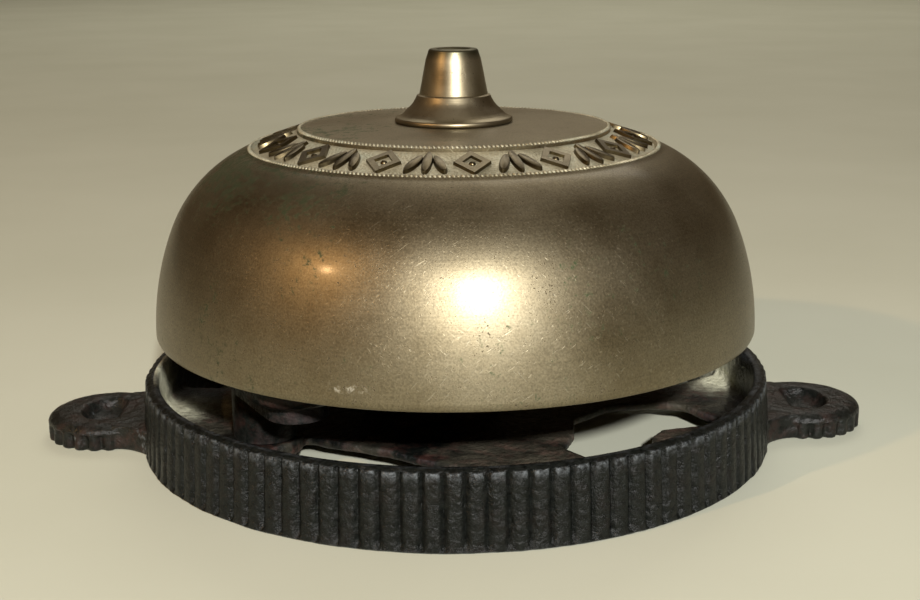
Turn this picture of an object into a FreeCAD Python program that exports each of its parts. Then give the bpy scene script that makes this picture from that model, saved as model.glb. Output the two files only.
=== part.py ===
import FreeCAD, Part
import math
import os

V = FreeCAD.Vector
UP = V(0, 0, 1)
os.makedirs("parts", exist_ok=True)

# ---------------------------------------------------------------- driving sizes, millimetres
# The bell lies on its back: z = 0 is the face that meets the door, +Z points to the knob.

# Gong: a bell-metal bowl, two tangent arcs up to a sloping band, then a nearly flat crown
gong_radius = 63.5
gong_wall = 2.8
gong_lip_z = 24.8
gong_side_radius = 58.0
gong_side_turn = 22.0
gong_shoulder_radius = 28.75
gong_shoulder_turn = 68.8
gong_band_inner_radius = 31.7
gong_band_rise = 4.05
gong_crown_rise = 0.75
gong_seat_radius = 13.0

# Base ring: a drafted cast ring, and the thin web that carries the works
ring_radius = 66.4
ring_draft = 0.9
ring_height = 15.3
ring_wall = 2.8
ring_edge = 0.6
web_bottom = 3.2
web_thickness = 2.0
works_bottom = 2.0
web_corner = 2.0
lug_corner = 1.2
small_boss_rise = 1.0

# Screw ears on the ring's left and right
ear_centre = 76.2
ear_radius = 12.8
ear_height = 5.6
ear_neck_half = 16.4
ear_neck_end = 69.0
ear_edge = 1.2
ear_hole_radius = 2.6
ear_dish_radial = 5.5
ear_dish_across = 8.0
ear_dish_depth = 2.6

# Centre post, its lock nut, the seat washer and the turned knob that holds the gong
post_radius = 5.0
post_boss_radius = 10.0
post_boss_height = 4.0
post_flange_radius = 8.5
post_flange_thickness = 2.4
post_stud_radius = 3.2
post_stud_length = 12.5
nut_across_flats = 14.0
nut_height = 4.0
washer_radius = 8.5
washer_thickness = 1.5
knob_foot_radius = 12.3
knob_rim_height = 1.3
knob_waist_radius = 7.6
knob_waist_height = 5.5
knob_neck_radius = 7.0
knob_neck_step = 0.35
knob_top_radius = 5.1
knob_height = 15.1
knob_top_edge = 0.8
knob_flare_in = 1.15
knob_flare_drop = 0.75

# Hammer: a flat lever on a shoulder screw, a round head at one end and a fork at the other
hammer_x = -39.5
hammer_y = -21.8
hammer_boss_radius = 7.5
hammer_boss_height = 1.3
hammer_hub_radius = 6.5
hammer_arm_z = 16.6
hammer_arm_thickness = 3.6
hammer_neck_half = 3.2
screw_shank_radius = 3.2
screw_thread_radius = 2.4
screw_head_radius = 5.5
screw_head_height = 2.3
screw_washer_thickness = 0.8
screw_slot_width = 1.2
screw_slot_depth = 1.0
head_radius = 10.0
head_height = 10.2
head_angle = 230.7
head_rest_gap = 1.2
head_spigot_radius = 3.0
head_eye_radius = 6.2
head_edge = 2.0
head_dome = 1.6
head_flat = 1.0

# Drive crank: the lever turned by the handle's square spindle, and its pin in the fork
crank_x = -12.0
crank_y = 28.0
crank_share = 0.4025
crank_draw = 31.0
crank_overrun = 4.7
turn_ratio = 0.63
crank_journal_radius = 6.2
crank_hub_radius = 9.0
crank_top_journal_radius = 4.0
crank_arm_rise = 1.4
crank_arm_thickness = 3.6
crank_arm_end_radius = 4.6
crank_arm_root_radius = 7.5
crank_hub_height = 12.4
spindle_across_flats = 6.4
spindle_socket_depth = 14.0
drive_pin_radius = 2.0
fork_gap = 0.3
fork_prong = 2.5
fork_reach = 4.5
bush_wall = 1.8
bush_boss_radius = 12.0
bush_boss_height = 3.8
thrust_washer_thickness = 0.6
thrust_washer_lip = 1.5

# Bridge over the crank, on two cast pillars
bridge_half_span = 20.0
bridge_half_width = 6.5
bridge_thickness = 3.0
pillar_radius = 4.8
bridge_screw_radius = 1.9
bridge_screw_depth = 8.0
bridge_screw_head_radius = 3.6
bridge_screw_head_height = 1.9

# Centring spring, its anchor pin and the wedge on the crank's tail that works it
wire_radius = 0.8
coil_radius = 10.6
coil_pitch = 1.8
coil_whole_turns = 2
leg_tip_x = 25.0
leg_tip_half = 2.3
anchor_x = 23.0
anchor_boss_radius = 4.0
wedge_start = 12.4
wedge_end = 18.5
wedge_end_radius = 3.4

# Draw stop: a stud with a leather sleeve beside the hammer's tail
stop_radius_from_hammer = 22.0
stop_stud_radius = 2.0
stop_sleeve_radius = 3.8
stop_stud_height = 15.0
stop_cap_height = 1.2
stop_cap_inset = 0.6
stop_boss_radius = 5.0

# Clearances
run_gap = 0.05
snug_gap = 0.02
end_gap = 0.3
spring_gap = 0.2

# ---------------------------------------------------------------- places worked out from the sizes
web_top = web_bottom + web_thickness
ring_inner = ring_radius - ring_wall
post_boss_top = web_top + post_boss_height

hammer_boss_top = web_top + hammer_boss_height
hammer_arm_top = hammer_arm_z + hammer_arm_thickness

bush_boss_top = web_top + bush_boss_height
crank_hub_bottom = bush_boss_top + thrust_washer_thickness
crank_arm_bottom = crank_hub_bottom + crank_arm_rise
crank_arm_top = crank_arm_bottom + crank_arm_thickness
crank_hub_top = crank_hub_bottom + crank_hub_height
bridge_bottom = crank_hub_top + end_gap
bridge_top = bridge_bottom + bridge_thickness
bush_outer = crank_journal_radius + run_gap + bush_wall

pivot_x = crank_x - hammer_x
pivot_y = crank_y - hammer_y
pivot_distance = math.hypot(pivot_x, pivot_y)
pivot_angle = math.degrees(math.atan2(pivot_y, pivot_x))
crank_throw = pivot_distance * crank_share
fork_radius = pivot_distance - crank_throw
# The pin crosses the line between the two pivots half way through the travel.
crank_rest_offset = (crank_draw - crank_overrun) / 2
fork_rest_offset = -crank_rest_offset * turn_ratio
hammer_draw = crank_draw * turn_ratio


def polar(x, y, radius, angle):
    """Plan point at a radius and an angle, in degrees, about (x, y)."""
    turn = math.radians(angle)
    return (x + radius * math.cos(turn), y + radius * math.sin(turn))


# The spring's legs leave the coil along tangents that meet near the tail's end.
tip_distance = math.hypot(leg_tip_x, leg_tip_half)
tip_angle = math.degrees(math.atan2(leg_tip_half, leg_tip_x))
leave_angle = tip_angle + math.degrees(math.acos(coil_radius / tip_distance))
leave_x = coil_radius * math.cos(math.radians(leave_angle))
leave_y = coil_radius * math.sin(math.radians(leave_angle))
leg_slope = (leave_y - leg_tip_half) / (leg_tip_x - leave_x)
leg_offset = (wire_radius + spring_gap) * math.hypot(1, leg_slope)
leg_length = math.hypot(leg_tip_x - leave_x, leave_y - leg_tip_half)


def leg_half(distance):
    """Half width between the spring's legs at a distance from the crank's axis."""
    return leave_y - (distance - leave_x) * leg_slope - leg_offset


anchor_radius = leg_half(anchor_x)


# ---------------------------------------------------------------- shape helpers
def disc(place, radius, low, high):
    """Upright cylinder between two heights."""
    return Part.makeCylinder(radius, high - low, V(place[0], place[1], low))


def prism(points, low, high):
    """Upright prism on a closed outline of plan points."""
    corners = [V(x, y, low) for x, y in points]
    face = Part.Face(Part.makePolygon(corners + corners[:1]))
    return face.extrude(V(0, 0, high - low))


def soft_prism(points, low, high, radius):
    """Prism whose upright edges are rounded."""
    body = prism(points, low, high)
    upright = [e for e in body.Edges if abs(e.tangentAt(e.FirstParameter).z) > 0.9]
    return body.makeFillet(radius, upright)


def link(start, start_radius, end, end_radius, low, high):
    """Flat bar with round ends and straight tangent sides."""
    run_x = end[0] - start[0]
    run_y = end[1] - start[1]
    length = math.hypot(run_x, run_y)
    heading = math.degrees(math.atan2(run_y, run_x))
    spread = math.degrees(math.acos((start_radius - end_radius) / length))
    sides = [
        polar(*start, start_radius, heading + spread),
        polar(*end, end_radius, heading + spread),
        polar(*end, end_radius, heading - spread),
        polar(*start, start_radius, heading - spread),
    ]
    body = prism(sides, low, high)
    body = body.fuse([disc(start, start_radius, low, high), disc(end, end_radius, low, high)])
    return body.removeSplitter()


def ray_bar(place, angle, start, end, half, low, high):
    """Straight bar along a ray from a pivot."""
    side = angle + 90
    near = polar(*place, start, angle)
    far = polar(*place, end, angle)
    outline = [
        polar(*near, half, side),
        polar(*near, -half, side),
        polar(*far, -half, side),
        polar(*far, half, side),
    ]
    return prism(outline, low, high)


def line(start, end):
    """Straight profile edge between two (radius, z) points."""
    return Part.makeLine(V(start[0], 0, start[1]), V(end[0], 0, end[1]))


def curve(start, middle, end):
    """Arc profile edge through three (radius, z) points."""
    points = [V(p[0], 0, p[1]) for p in (start, middle, end)]
    return Part.Arc(*points).toShape()


def turned(edges):
    """Solid of revolution about the Z axis from a closed profile."""
    face = Part.Face(Part.Wire(Part.__sortEdges__(edges)))
    return face.revolve(V(0, 0, 0), UP, 360)


def turned_outline(points):
    """Solid of revolution from a closed profile of straight edges."""
    corners = [V(x, 0, z) for x, z in points]
    face = Part.Face(Part.makePolygon(corners + corners[:1]))
    return face.revolve(V(0, 0, 0), UP, 360)


def at(shape, place):
    """Copy of a shape moved from the Z axis to a plan point."""
    moved = shape.copy()
    moved.translate(V(place[0], place[1], 0))
    return moved


def slotted_screw(place, shank, seat, tip, head, head_height):
    """Cheese-head screw with a driver slot."""
    top = seat + head_height
    body = disc(place, shank, tip, seat).fuse(disc(place, head, seat, top))
    slot = Part.makeBox(
        2 * head, screw_slot_width, screw_slot_depth,
        V(place[0] - head, place[1] - screw_slot_width / 2, top - screw_slot_depth),
    )
    return body.cut(slot).removeSplitter()


def save(name, shape):
    """Write one named piece."""
    if not shape.isValid():
        raise ValueError(name)
    shape.exportStep("parts/" + name + ".step")
    print(name, len(shape.Solids), round(shape.Volume, 1))


post_place = (0, 0)
hammer_place = (hammer_x, hammer_y)
crank_place = (crank_x, crank_y)
tail_angle = pivot_angle + 180
bridge_ends = [
    polar(*crank_place, bridge_half_span, pivot_angle - 90),
    polar(*crank_place, bridge_half_span, pivot_angle + 90),
]
anchor_place = polar(*crank_place, anchor_x, pivot_angle)
stop_angle = (
    pivot_angle + fork_rest_offset + hammer_draw
    + math.degrees(math.asin((hammer_neck_half + stop_sleeve_radius + end_gap) / stop_radius_from_hammer))
)
stop_place = polar(*hammer_place, stop_radius_from_hammer, stop_angle)


# ---------------------------------------------------------------- gong
def arc_point(centre, radius, angle):
    """Point of a profile arc."""
    turn = math.radians(angle)
    return (centre[0] + radius * math.cos(turn), centre[1] + radius * math.sin(turn))


side_centre = (gong_radius - gong_side_radius, gong_lip_z)
shoulder_centre = arc_point(side_centre, gong_side_radius - gong_shoulder_radius, gong_side_turn)
band_outer = arc_point(shoulder_centre, gong_shoulder_radius, gong_shoulder_turn)
gong_band_inner_z = band_outer[1] + gong_band_rise
gong_top = gong_band_inner_z + gong_crown_rise
gong_ceiling = gong_top - gong_wall


def bowl_side(inset):
    """Side and shoulder arcs of the bowl, set in from the outer face."""
    side = gong_side_radius - inset
    shoulder = gong_shoulder_radius - inset
    lip = arc_point(side_centre, side, 0)
    join = arc_point(side_centre, side, gong_side_turn)
    end = arc_point(shoulder_centre, shoulder, gong_shoulder_turn)
    middle = arc_point(shoulder_centre, shoulder, (gong_side_turn + gong_shoulder_turn) / 2)
    arcs = [
        curve(lip, arc_point(side_centre, side, gong_side_turn / 2), join),
        curve(join, middle, end),
    ]
    return lip, arcs, end


outer_lip, outer_arcs, outer_end = bowl_side(0)
inner_lip, inner_arcs, inner_end = bowl_side(gong_wall)
gong_bore = post_stud_radius + run_gap
crown_outer = [
    outer_end,
    (gong_band_inner_radius, gong_band_inner_z),
    (gong_seat_radius, gong_top),
    (gong_bore, gong_top),
]
crown_inner = [
    (gong_bore, gong_ceiling),
    (gong_seat_radius, gong_ceiling),
    (gong_band_inner_radius, gong_ceiling - gong_crown_rise),
    inner_end,
]
crown_line = crown_outer + crown_inner
crown_edges = [line(a, b) for a, b in zip(crown_line, crown_line[1:])]
gong = turned(outer_arcs + crown_edges + inner_arcs + [line(inner_lip, outer_lip)])
save("gong", gong)


# ---------------------------------------------------------------- base casting
ring = turned_outline([
    (ring_inner, 0),
    (ring_radius + ring_draft, 0),
    (ring_radius, ring_height - ring_edge),
    (ring_radius - ring_edge, ring_height),
    (ring_inner, ring_height),
])

web = disc(post_place, ring_inner + ring_wall / 2, web_bottom, web_top)

# Plan outlines of the web's openings; each runs out past the ring and is trimmed at its inner wall.
front_left_gap = [
    (-46, -49), (-36.5, -28.5), (-32.2, -19.2), (-14.7, -28.4), (-5.2, -35.4), (24, -54),
    (20, -80), (-40, -80),
]
front_right_gap = [
    (46, -56), (26, -34.5), (21, -28.8), (23.9, -20.5), (25, -11), (33, -3), (44, -1), (49.5, -3.2),
    (53.5, -10), (66, -25), (70, -50),
]
back_right_gap = [(17, 16), (24, 11), (50, 11), (72, 26), (66, 66), (12, 74), (11, 32)]
back_left_gap = [(-31, 15), (-60, 15), (-80, 26), (-60, 62), (-38, 39), (-28, 26)]
back_gap = [(-21, 46), (-7, 46), (-8, 80), (-36, 80)]
lug = [(42.3, -18), (52, -15.8), (66, -25), (52, -46), (38.6, -30), (39.6, -22.5)]

gap_depth = web_thickness + 2
gap_low = web_bottom - 1
inside = disc(post_place, ring_inner, 0, ring_height)
for gap in (front_left_gap, front_right_gap, back_right_gap, back_left_gap, back_gap):
    opening = soft_prism(gap, gap_low, gap_low + gap_depth, web_corner)
    web = web.cut(opening.common(inside))
lug_body = soft_prism(lug, web_bottom, web_top, lug_corner)
lug_body = lug_body.common(disc(post_place, ring_radius, 0, ring_height))


def ear(side):
    """Screw ear on one side of the ring, with a dished hole."""
    outline = [
        (ring_inner, -ear_neck_half),
        (ear_neck_end, -ear_radius),
        (ear_centre, -ear_radius),
        (ear_centre, ear_radius),
        (ear_neck_end, ear_radius),
        (ring_inner, ear_neck_half),
    ]
    centre = (ear_centre, 0)
    body = prism(outline, 0, ear_height).fuse(disc(centre, ear_radius, 0, ear_height)).removeSplitter()
    rim = [
        e for e in body.Edges
        if min(v.Z for v in e.Vertexes) > ear_height - 0.01
        and e.BoundBox.XMax > ring_inner + 0.1
    ]
    body = body.makeFillet(ear_edge, rim)
    hole = disc(centre, ear_hole_radius, -1, ear_height + 1)
    floor = Part.Circle(V(ear_centre, 0, ear_height - ear_dish_depth), UP, ear_hole_radius).toShape()
    mouth = Part.Ellipse(
        V(ear_centre, ear_dish_across, ear_height),
        V(ear_centre + ear_dish_radial, 0, ear_height),
        V(ear_centre, 0, ear_height),
    ).toShape()
    dish = Part.makeLoft([Part.Wire([floor]), Part.Wire([mouth])], True, True)
    body = body.cut([hole, dish])
    if side < 0:
        body = body.mirror(V(0, 0, 0), V(1, 0, 0))
    return body


core = disc(post_place, ring_inner + ring_wall / 2, -1, ring_height + 1)
ears = [ear(side).cut(core) for side in (-1, 1)]

bosses = [
    disc(post_place, post_boss_radius, works_bottom, post_boss_top),
    disc(hammer_place, hammer_boss_radius, web_bottom, hammer_boss_top),
    disc(crank_place, bush_boss_radius, works_bottom, bush_boss_top),
    disc(anchor_place, anchor_boss_radius, web_bottom, web_top + small_boss_rise),
    disc(stop_place, stop_boss_radius, web_bottom, web_top + small_boss_rise),
]
bosses += [disc(place, pillar_radius, web_bottom, bridge_bottom) for place in bridge_ends]
holes = [
    disc(post_place, post_radius + snug_gap, 0, post_boss_top + 1),
    disc(hammer_place, screw_thread_radius + snug_gap, 0, hammer_boss_top + 1),
    disc(crank_place, bush_outer + snug_gap, 0, bush_boss_top + 1),
    disc(anchor_place, anchor_radius + snug_gap, 0, web_top + 2),
    disc(stop_place, stop_stud_radius + snug_gap, 0, web_top + 2),
]
screw_hole_bottom = bridge_top - bridge_screw_depth - 1
for place in bridge_ends:
    holes.append(disc(place, bridge_screw_radius + snug_gap, screw_hole_bottom, bridge_top))
base = ring.fuse([web, lug_body] + ears + bosses).cut(holes).removeSplitter()
save("base_casting", base)


# ---------------------------------------------------------------- gong post, nut, washer, knob
washer_bottom = gong_ceiling - washer_thickness
flange_bottom = washer_bottom - post_flange_thickness
stud_top = gong_top + post_stud_length
post = turned_outline([
    (0, works_bottom),
    (post_radius, works_bottom),
    (post_radius, flange_bottom),
    (post_flange_radius, flange_bottom),
    (post_flange_radius, washer_bottom),
    (post_stud_radius, washer_bottom),
    (post_stud_radius, stud_top),
    (0, stud_top),
])
save("gong_post", post)

nut_corner = nut_across_flats / math.sqrt(3)
nut = prism([polar(0, 0, nut_corner, 60 * n) for n in range(6)], post_boss_top, post_boss_top + nut_height)
nut = nut.cut(disc(post_place, post_radius + snug_gap, 0, stud_top))
save("post_lock_nut", nut)

washer = disc(post_place, washer_radius, washer_bottom, gong_ceiling)
washer = washer.cut(disc(post_place, post_stud_radius + snug_gap, 0, stud_top))
save("gong_seat_washer", washer)

knob_rim_top = gong_top + knob_rim_height
knob_waist_z = gong_top + knob_waist_height
knob_top_z = gong_top + knob_height
knob_rim_bulge = knob_rim_height / 2
knob_rim_inner = (knob_foot_radius - knob_rim_bulge, knob_rim_top)
flare_middle = (
    (knob_foot_radius + knob_waist_radius) / 2 - knob_flare_in,
    (knob_rim_top + knob_waist_z) / 2 - knob_flare_drop,
)
knob_profile = [
    line((0, gong_top), (knob_foot_radius - knob_rim_bulge, gong_top)),
    curve(
        (knob_foot_radius - knob_rim_bulge, gong_top),
        (knob_foot_radius, gong_top + knob_rim_bulge),
        knob_rim_inner,
    ),
    curve(knob_rim_inner, flare_middle, (knob_waist_radius, knob_waist_z)),
    line((knob_waist_radius, knob_waist_z), (knob_neck_radius, knob_waist_z + knob_neck_step)),
    line((knob_neck_radius, knob_waist_z + knob_neck_step), (knob_top_radius, knob_top_z - knob_top_edge)),
    curve(
        (knob_top_radius, knob_top_z - knob_top_edge),
        (knob_top_radius - knob_top_edge * 0.3, knob_top_z - knob_top_edge * 0.3),
        (knob_top_radius - knob_top_edge, knob_top_z),
    ),
    line((knob_top_radius - knob_top_edge, knob_top_z), (0, knob_top_z)),
    line((0, knob_top_z), (0, gong_top)),
]
knob = turned(knob_profile)
knob = knob.cut(disc(post_place, post_stud_radius + snug_gap, gong_top - 1, stud_top + end_gap))
save("gong_nut", knob)


# ---------------------------------------------------------------- hammer
washer_seat = hammer_arm_top + end_gap / 2
stud_seat = washer_seat + screw_washer_thickness
stud = slotted_screw(
    hammer_place, screw_shank_radius, stud_seat, hammer_boss_top, screw_head_radius, screw_head_height,
)
stud = stud.fuse(disc(hammer_place, screw_thread_radius, web_bottom, hammer_boss_top)).removeSplitter()
save("hammer_screw", stud)

hammer_bore = screw_shank_radius + run_gap
screw_washer = disc(hammer_place, screw_head_radius + 0.6, washer_seat, stud_seat)
screw_washer = screw_washer.cut(disc(hammer_place, hammer_bore, 0, stud_seat + 1))
save("hammer_washer", screw_washer)

head_place = polar(0, 0, inner_lip[0] - head_radius - head_rest_gap, head_angle)
fork_angle = pivot_angle + fork_rest_offset
slot_half = drive_pin_radius + fork_gap
fork_half = slot_half + fork_prong
fork_start = fork_radius - fork_reach
fork_end = fork_radius + fork_reach
tail_end = polar(*hammer_place, fork_start - fork_half / 2, fork_angle)
arm = link(hammer_place, hammer_hub_radius, head_place, head_eye_radius, hammer_arm_z, hammer_arm_top)
tail = link(hammer_place, hammer_neck_half, tail_end, hammer_neck_half, hammer_arm_z, hammer_arm_top)
fork = ray_bar(
    hammer_place, fork_angle, fork_start - fork_half, fork_end, fork_half, hammer_arm_z, hammer_arm_top,
)
fork = fork.fuse(disc(tail_end, fork_half, hammer_arm_z, hammer_arm_top))
slot = ray_bar(
    hammer_place, fork_angle, fork_start, fork_end + 1, slot_half, hammer_arm_z - 1, hammer_arm_top + 1,
)
slot_root = polar(*hammer_place, fork_start, fork_angle)
slot = slot.fuse(disc(slot_root, slot_half, hammer_arm_z - 1, hammer_arm_top + 1))
hub = disc(hammer_place, hammer_hub_radius, hammer_boss_top + end_gap, hammer_arm_top)
hammer_arm = arm.fuse([tail, fork, hub]).cut([
    slot,
    disc(hammer_place, hammer_bore, 0, hammer_arm_top + 1),
    disc(head_place, head_spigot_radius + snug_gap, 0, hammer_arm_top + 1),
]).removeSplitter()
save("hammer_arm", hammer_arm)

head_top = hammer_arm_top + head_height
head_body = turned([
    line((0, hammer_arm_z), (head_spigot_radius, hammer_arm_z)),
    line((head_spigot_radius, hammer_arm_z), (head_spigot_radius, hammer_arm_top)),
    line((head_spigot_radius, hammer_arm_top), (head_radius - head_edge, hammer_arm_top)),
    curve(
        (head_radius - head_edge, hammer_arm_top),
        (head_radius - head_edge * 0.293, hammer_arm_top + head_edge * 0.293),
        (head_radius, hammer_arm_top + head_edge),
    ),
    line((head_radius, hammer_arm_top + head_edge), (head_radius, head_top - head_edge - head_dome)),
    curve(
        (head_radius, head_top - head_edge - head_dome),
        (head_radius - head_edge * 0.293, head_top - head_dome - head_edge * 0.293),
        (head_radius - head_edge, head_top - head_dome),
    ),
    curve(
        (head_radius - head_edge, head_top - head_dome),
        (head_radius / 2, head_top - head_dome / 3),
        (head_flat, head_top),
    ),
    line((head_flat, head_top), (0, head_top)),
    line((0, head_top), (0, hammer_arm_z)),
])
save("hammer_head", at(head_body, head_place))


# ---------------------------------------------------------------- drive crank
crank_angle = tail_angle + crank_rest_offset
pin_place = polar(*crank_place, crank_throw, crank_angle)
bush_bottom = works_bottom
bush = disc(crank_place, bush_outer, bush_bottom, bush_boss_top)
bush = bush.cut(disc(crank_place, crank_journal_radius + run_gap, 0, bush_boss_top + 1))
save("spindle_bush", bush)

thrust = disc(crank_place, bush_outer + thrust_washer_lip, bush_boss_top, crank_hub_bottom)
thrust = thrust.cut(disc(crank_place, crank_journal_radius + run_gap, 0, crank_hub_bottom + 1))
save("thrust_washer", thrust)

def from_crank(distance, offset):
    """Plan point in the crank's own directions: out along its tail, and across it."""
    along = polar(*crank_place, distance, pivot_angle)
    return polar(*along, offset, pivot_angle + 90)


coil_turns = coil_whole_turns + (360 - 2 * leave_angle) / 360
coil_rise = coil_turns * coil_pitch
leg_fall = leg_length * coil_pitch / (2 * math.pi * coil_radius)
coil_low = crank_arm_top + end_gap + wire_radius + leg_fall
wedge_top = coil_low + coil_rise + leg_fall + wire_radius
wedge_outline = [
    from_crank(wedge_start, -leg_half(wedge_start)),
    from_crank(wedge_end, -leg_half(wedge_end)),
    from_crank(wedge_end, leg_half(wedge_end)),
    from_crank(wedge_start, leg_half(wedge_start)),
]
crank_arm = link(
    crank_place, crank_arm_root_radius, pin_place, crank_arm_end_radius, crank_arm_bottom, crank_arm_top,
)
tail_tip = polar(*crank_place, wedge_end - wedge_end_radius, pivot_angle)
crank_tail = link(
    crank_place, crank_arm_root_radius, tail_tip, wedge_end_radius, crank_arm_bottom, crank_arm_top,
)
half_flat = spindle_across_flats / 2
socket_outline = [
    polar(*crank_place, half_flat * math.sqrt(2), pivot_angle + 45 + 90 * n) for n in range(4)
]
crank = disc(crank_place, crank_journal_radius, works_bottom, crank_hub_bottom).fuse([
    disc(crank_place, crank_hub_radius, crank_hub_bottom, crank_hub_top),
    disc(crank_place, crank_top_journal_radius, crank_hub_top, bridge_top),
    crank_arm,
    crank_tail,
    prism(wedge_outline, crank_arm_bottom, wedge_top),
]).cut([
    prism(socket_outline, works_bottom - 1, works_bottom + spindle_socket_depth),
    disc(pin_place, drive_pin_radius + snug_gap, 0, crank_arm_top + 1),
]).removeSplitter()
save("drive_crank", crank)

drive_pin = disc(pin_place, drive_pin_radius, crank_arm_bottom, hammer_arm_top + end_gap)
save("drive_pin", drive_pin)


# ---------------------------------------------------------------- bridge
bridge = link(
    bridge_ends[0], bridge_half_width, bridge_ends[1], bridge_half_width, bridge_bottom, bridge_top,
)
bridge_holes = [disc(crank_place, crank_top_journal_radius + run_gap, 0, bridge_top + 1)]
bridge_holes += [disc(place, bridge_screw_radius + snug_gap, 0, bridge_top + 1) for place in bridge_ends]
save("bridge_plate", bridge.cut(bridge_holes))

bridge_screws = [
    slotted_screw(
        place, bridge_screw_radius, bridge_top, bridge_top - bridge_screw_depth,
        bridge_screw_head_radius, bridge_screw_head_height,
    )
    for place in bridge_ends
]
save("bridge_screws", Part.makeCompound(bridge_screws))


# ---------------------------------------------------------------- centring spring and its anchor
helix = Part.makeHelix(coil_pitch, coil_rise, coil_radius)
climb = math.atan(coil_pitch / (2 * math.pi * coil_radius))


def coil_point(angle):
    """Centre of the wire at a turn, in degrees, from the coil's start."""
    turn = math.radians(angle)
    return V(coil_radius * math.cos(turn), coil_radius * math.sin(turn), coil_pitch * angle / 360)


def coil_heading(angle):
    """Direction in which the wire runs at a turn from the coil's start."""
    turn = math.radians(angle)
    level = math.cos(climb)
    return V(-math.sin(turn) * level, math.cos(turn) * level, math.sin(climb))


coil_start = coil_point(0)
coil_end = coil_point(360 * coil_turns)
low_tip = coil_start - coil_heading(0) * leg_length
high_tip = coil_end + coil_heading(360 * coil_turns) * leg_length
wire_parts = [Part.makeLine(low_tip, coil_start)] + helix.Edges + [Part.makeLine(coil_end, high_tip)]
wire_line = Part.Wire(wire_parts)
section = Part.Wire([Part.Circle(low_tip, coil_heading(0), wire_radius).toShape()])
spring = wire_line.makePipeShell([section], True, True)
spring.rotate(V(0, 0, 0), UP, leave_angle + pivot_angle)
spring.translate(V(0, 0, coil_low))
save("centring_spring", at(spring, crank_place))

anchor = disc(anchor_place, anchor_radius, web_bottom, wedge_top + wire_radius)
save("spring_anchor_pin", anchor)


# ---------------------------------------------------------------- draw stop
stop_top = web_top + stop_stud_height
stop_seat = web_top + small_boss_rise
stop_stud = disc(stop_place, stop_stud_radius, web_bottom, stop_top).fuse(
    disc(stop_place, stop_sleeve_radius - stop_cap_inset, stop_top, stop_top + stop_cap_height)
).removeSplitter()
save("stop_stud", stop_stud)

sleeve = disc(stop_place, stop_sleeve_radius, stop_seat, stop_top)
sleeve = sleeve.cut(disc(stop_place, stop_stud_radius + snug_gap, 0, stop_top + 1))
save("stop_sleeve", sleeve)
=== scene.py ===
import math

import bpy
from mathutils import Matrix, Vector, noise


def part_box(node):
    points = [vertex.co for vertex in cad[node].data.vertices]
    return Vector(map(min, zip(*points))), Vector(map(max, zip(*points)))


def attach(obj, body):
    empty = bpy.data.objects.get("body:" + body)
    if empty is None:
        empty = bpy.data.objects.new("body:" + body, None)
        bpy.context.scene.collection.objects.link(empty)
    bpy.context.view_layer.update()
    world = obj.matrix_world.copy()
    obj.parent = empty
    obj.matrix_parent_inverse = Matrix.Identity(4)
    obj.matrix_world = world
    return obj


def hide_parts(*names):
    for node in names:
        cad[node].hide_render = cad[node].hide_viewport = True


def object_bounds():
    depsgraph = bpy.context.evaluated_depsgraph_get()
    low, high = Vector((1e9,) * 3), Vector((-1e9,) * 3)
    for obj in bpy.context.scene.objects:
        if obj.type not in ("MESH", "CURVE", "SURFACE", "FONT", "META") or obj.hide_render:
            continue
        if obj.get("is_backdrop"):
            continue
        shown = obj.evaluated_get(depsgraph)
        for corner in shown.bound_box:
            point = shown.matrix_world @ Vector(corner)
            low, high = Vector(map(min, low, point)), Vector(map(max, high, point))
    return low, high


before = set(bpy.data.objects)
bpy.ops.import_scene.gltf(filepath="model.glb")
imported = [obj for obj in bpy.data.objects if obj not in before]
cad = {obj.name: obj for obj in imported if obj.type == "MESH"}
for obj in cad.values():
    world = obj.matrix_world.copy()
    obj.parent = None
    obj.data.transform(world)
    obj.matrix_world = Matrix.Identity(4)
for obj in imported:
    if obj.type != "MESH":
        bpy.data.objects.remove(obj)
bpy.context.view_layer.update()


# ------------------------------------------------------------------ camera
# The bell lies on its back on a table and is seen from the front, a little from above,
# from about thirty centimetres.
camera_place = Vector((-0.0066, -0.2963, 0.1054))
camera_pitch = 0.2531
camera_yaw = 0.0256
camera_roll = -0.008
camera_lens = 55.45

ahead = Vector((
    math.sin(camera_yaw) * math.cos(camera_pitch),
    math.cos(camera_yaw) * math.cos(camera_pitch),
    -math.sin(camera_pitch),
))
level_right = ahead.cross(Vector((0, 0, 1))).normalized()
level_up = level_right.cross(ahead)
camera_right = math.cos(camera_roll) * level_right + math.sin(camera_roll) * level_up
camera_up = -math.sin(camera_roll) * level_right + math.cos(camera_roll) * level_up
camera_data = bpy.data.cameras.new("camera")
camera_data.lens = camera_lens
camera_data.clip_start = 0.01
camera = bpy.data.objects.new("camera", camera_data)
camera.matrix_world = Matrix((
    (camera_right.x, camera_up.x, -ahead.x, camera_place.x),
    (camera_right.y, camera_up.y, -ahead.y, camera_place.y),
    (camera_right.z, camera_up.z, -ahead.z, camera_place.z),
    (0, 0, 0, 1),
))
bpy.context.scene.collection.objects.link(camera)
bpy.context.scene.camera = camera


# ------------------------------------------------------------------ gong
# A turned bell-metal bowl. Its side and shoulder are two tangent arcs, and round the crown runs
# a sunk band between two raised borders. The lip is turned square.
lip_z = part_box("gong")[0].z
gong_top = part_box("gong")[1].z
gong_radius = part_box("gong")[1].x
gong_wall = 0.0028
side_radius = 0.0580
side_turn = math.radians(22.0)
shoulder_radius = 0.02875
shoulder_turn = math.radians(68.8)
band_inner_radius = 0.0317
band_inner_z = gong_top - 0.00075
gong_bore = 0.00325
gong_steps = 240


def deselect():
    """Start from an empty selection, because the loaded nodes are all selected."""
    if bpy.context.mode != "OBJECT":
        bpy.ops.object.mode_set(mode="OBJECT")
    bpy.ops.object.select_all(action="DESELECT")


def take(piece):
    """Make one object the selected and active one."""
    deselect()
    piece.select_set(True)
    bpy.context.view_layer.objects.active = piece


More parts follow.
